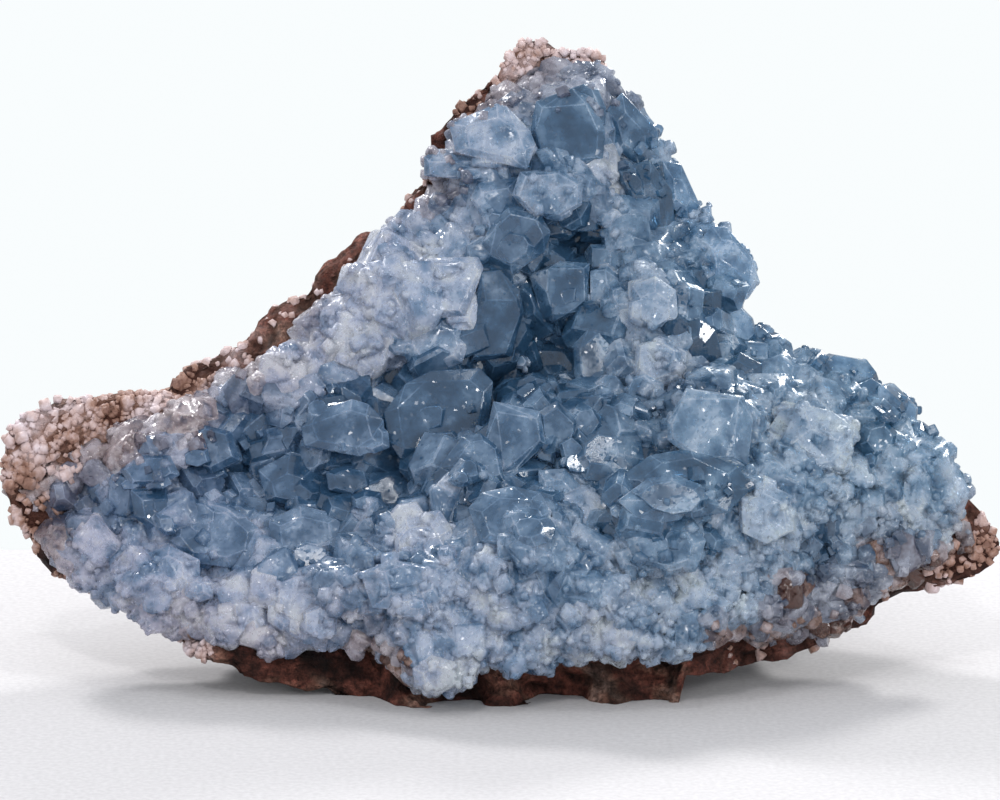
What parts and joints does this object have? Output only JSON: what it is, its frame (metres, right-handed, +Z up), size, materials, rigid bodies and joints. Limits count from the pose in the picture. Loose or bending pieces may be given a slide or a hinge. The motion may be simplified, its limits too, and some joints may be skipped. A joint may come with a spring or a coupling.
{
  "type": "celestite specimen",
  "caption": "Free-standing mineral specimen: a broken brown geode wall with a peaked back and two wings, its hollow lined with blocky see-through blue celestite crystals.",
  "frame": {"origin": "on the floor, under the centre of the specimen's bounding box", "axes": "+X to the right along the wings, +Y to the back from the crystals to the rock's outside, +Z up"},
  "size_m": [0.193, 0.0912, 0.1185],
  "materials": {
    "brown_rock": "rough broken rock, brown to ochre with darker seams, pale sugary grains towards the crystals",
    "blue_celestite": "pale grey-blue see-through crystal, glossy faces over a frosted inside, sparkling small crystals"
  },
  "bodies": {
    "root": {"rock_wall": "brown_rock", "crystal_crust": "blue_celestite"}
  },
  "joints": []
}
